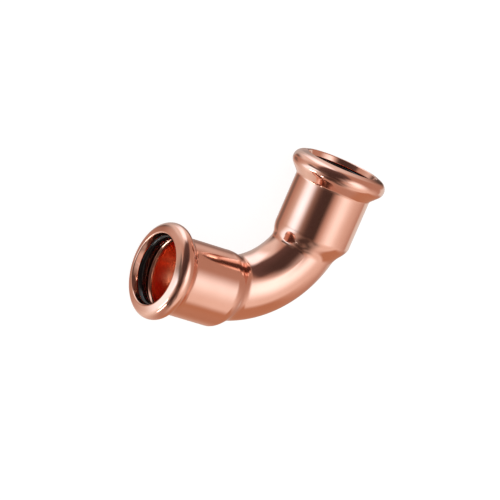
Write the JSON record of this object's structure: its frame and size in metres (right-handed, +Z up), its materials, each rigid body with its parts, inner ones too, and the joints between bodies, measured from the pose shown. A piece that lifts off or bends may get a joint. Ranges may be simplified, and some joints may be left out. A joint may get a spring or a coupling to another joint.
{
  "type": "press fit pipe elbow",
  "caption": "Copper press elbow: a tube bent through a right angle, widened into a beaded socket at each end, with a rubber seal ring in each bead.",
  "frame": {"origin": "on the surface that the elbow lies on, under the middle of its bounding box", "axes": "+Z up; one socket opens to -Y and the other to -X, both leaning up by 8.4 degrees"},
  "size_m": [0.049, 0.049, 0.0225],
  "materials": {
    "copper": "bright drawn copper",
    "seal_rubber": "smooth moulded rubber"
  },
  "bodies": {
    "root": {"elbow_body": "copper", "front_seal_ring": "seal_rubber", "side_seal_ring": "seal_rubber"}
  },
  "joints": []
}
